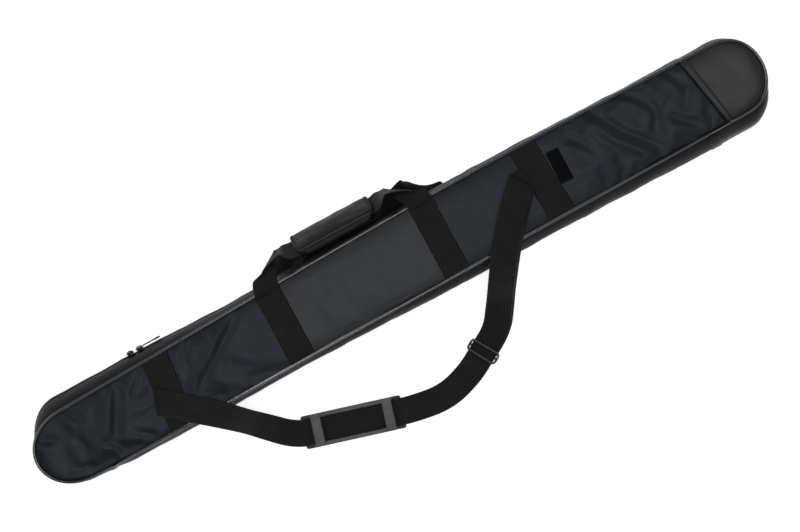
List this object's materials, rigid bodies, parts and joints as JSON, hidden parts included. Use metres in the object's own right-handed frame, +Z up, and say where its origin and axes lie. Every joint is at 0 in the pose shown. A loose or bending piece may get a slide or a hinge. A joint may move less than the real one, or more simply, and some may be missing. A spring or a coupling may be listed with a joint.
{
  "type": "cue case",
  "caption": "Soft zip-up case for a two-piece cue, with a vinyl end cap, a padded carrying handle and a webbing shoulder strap with an adjuster and a pad.",
  "frame": {"origin": "middle of the rear panel's outer face, which the case lies on", "axes": "+X along the case to the vinyl end cap, +Y to the zip and the carrying handle, +Z up out of the front panel"},
  "size_m": [0.8502, 0.2407, 0.0449],
  "materials": {
    "nylon": "woven",
    "lining": "brushed",
    "foam": "closed-cell foam",
    "vinyl": "smooth vinyl",
    "piping": "glossy",
    "webbing": "ribbed webbing",
    "zip_tape": "woven",
    "zip_coil": "moulded",
    "slider_metal": "black enamel",
    "pad_plastic": "moulded",
    "wire": "dark nickel",
    "hook_loop": "hook and loop",
    "label": "woven"
  },
  "bodies": {
    "root": {"rear_panel": "nylon", "rear_foam": "foam", "rear_lining": "lining", "cap_rear_panel": "vinyl", "cap_front_panel": "vinyl", "cap_foam": "foam", "cap_hem": "vinyl", "rear_gusset": "nylon", "hinge_gusset": "nylon", "cap_gusset": "vinyl", "cap_piping": "piping", "rear_piping": "piping", "zip_tape_rear": "zip_tape", "zip_coil_rear": "zip_coil", "zip_end_stops": "slider_metal", "cue_divider": "lining", "retaining_straps": "webbing", "rear_handle_legs": "webbing", "strap_main": "webbing", "strap_return": "webbing"},
    "lid": {"front_panel": "nylon", "front_foam": "foam", "front_lining": "lining", "front_gusset": "nylon", "front_piping": "piping", "zip_tape_front": "zip_tape", "zip_coil_front": "zip_coil", "strap_band_left": "webbing", "strap_band_right": "webbing", "label": "label", "front_handle_legs": "webbing", "strap_end_left": "webbing", "strap_end_right": "webbing"},
    "front_handle": {"front_handle_loop": "webbing", "handle_wrap": "nylon", "wrap_padding_lower": "foam", "wrap_loop_strip": "hook_loop"},
    "wrap_flap": {"wrap_flap": "nylon", "wrap_padding_upper": "foam", "wrap_hook_strip": "hook_loop"},
    "rear_handle": {"rear_handle_loop": "webbing"},
    "zip_slider_left": {"zip_slider_left": "slider_metal"},
    "zip_slider_right": {"zip_slider_right": "slider_metal"},
    "zip_pull_left": {"zip_pull_left": "slider_metal"},
    "zip_pull_right": {"zip_pull_right": "slider_metal"},
    "shoulder_pad": {"shoulder_pad": "pad_plastic"},
    "strap_adjuster": {"adjuster_frame": "wire", "adjuster_bar": "wire"}
  },
  "joints": [
    {"name": "lid_hinge", "type": "hinge", "parent": "root", "child": "lid", "pos_m": [0, -0.0415, 0.0399], "axis": [1, 0, 0], "range_deg": [0, 110]},
    {"name": "front_handle_hinge", "type": "hinge", "parent": "lid", "child": "front_handle", "pos_m": [0, 0.046, 0.0425], "axis": [1, 0, 0], "range_deg": [0, 120]},
    {"name": "wrap_flap_hinge", "type": "hinge", "parent": "front_handle", "child": "wrap_flap", "pos_m": [0, 0.07496, 0.00477], "axis": [-1, 0, 0], "range_deg": [0, 70]},
    {"name": "rear_handle_hinge", "type": "hinge", "parent": "root", "child": "rear_handle", "pos_m": [0, 0.045, 0.0011], "axis": [1, 0, 0], "range_deg": [-90, 0]},
    {"name": "zip_left_slide", "type": "slide", "parent": "root", "child": "zip_slider_left", "axis": [1, 0, 0], "range_m": [-0.085, 0]},
    {"name": "zip_right_slide", "type": "slide", "parent": "root", "child": "zip_slider_right", "axis": [1, 0, 0], "range_m": [0, 0.6]},
    {"name": "zip_left_pull_hinge", "type": "hinge", "parent": "zip_slider_left", "child": "zip_pull_left", "pos_m": [-0.292, 0.0511, 0.0132], "axis": [1, 0, 0], "range_deg": [0, 100]},
    {"name": "zip_right_pull_hinge", "type": "hinge", "parent": "zip_slider_right", "child": "zip_pull_right", "pos_m": [-0.2748, 0.0511, 0.02], "axis": [0, 0, 1], "range_deg": [0, 100]},
    {"name": "shoulder_pad_slide", "type": "slide", "parent": "root", "child": "shoulder_pad", "axis": [0.9617, -0.274, 0], "range_m": [-0.006, 0.006]},
    {"name": "adjuster_slide", "type": "slide", "parent": "root", "child": "strap_adjuster", "axis": [0.8625, 0.506, 0], "range_m": [-0.006, 0.004]}
  ]
}
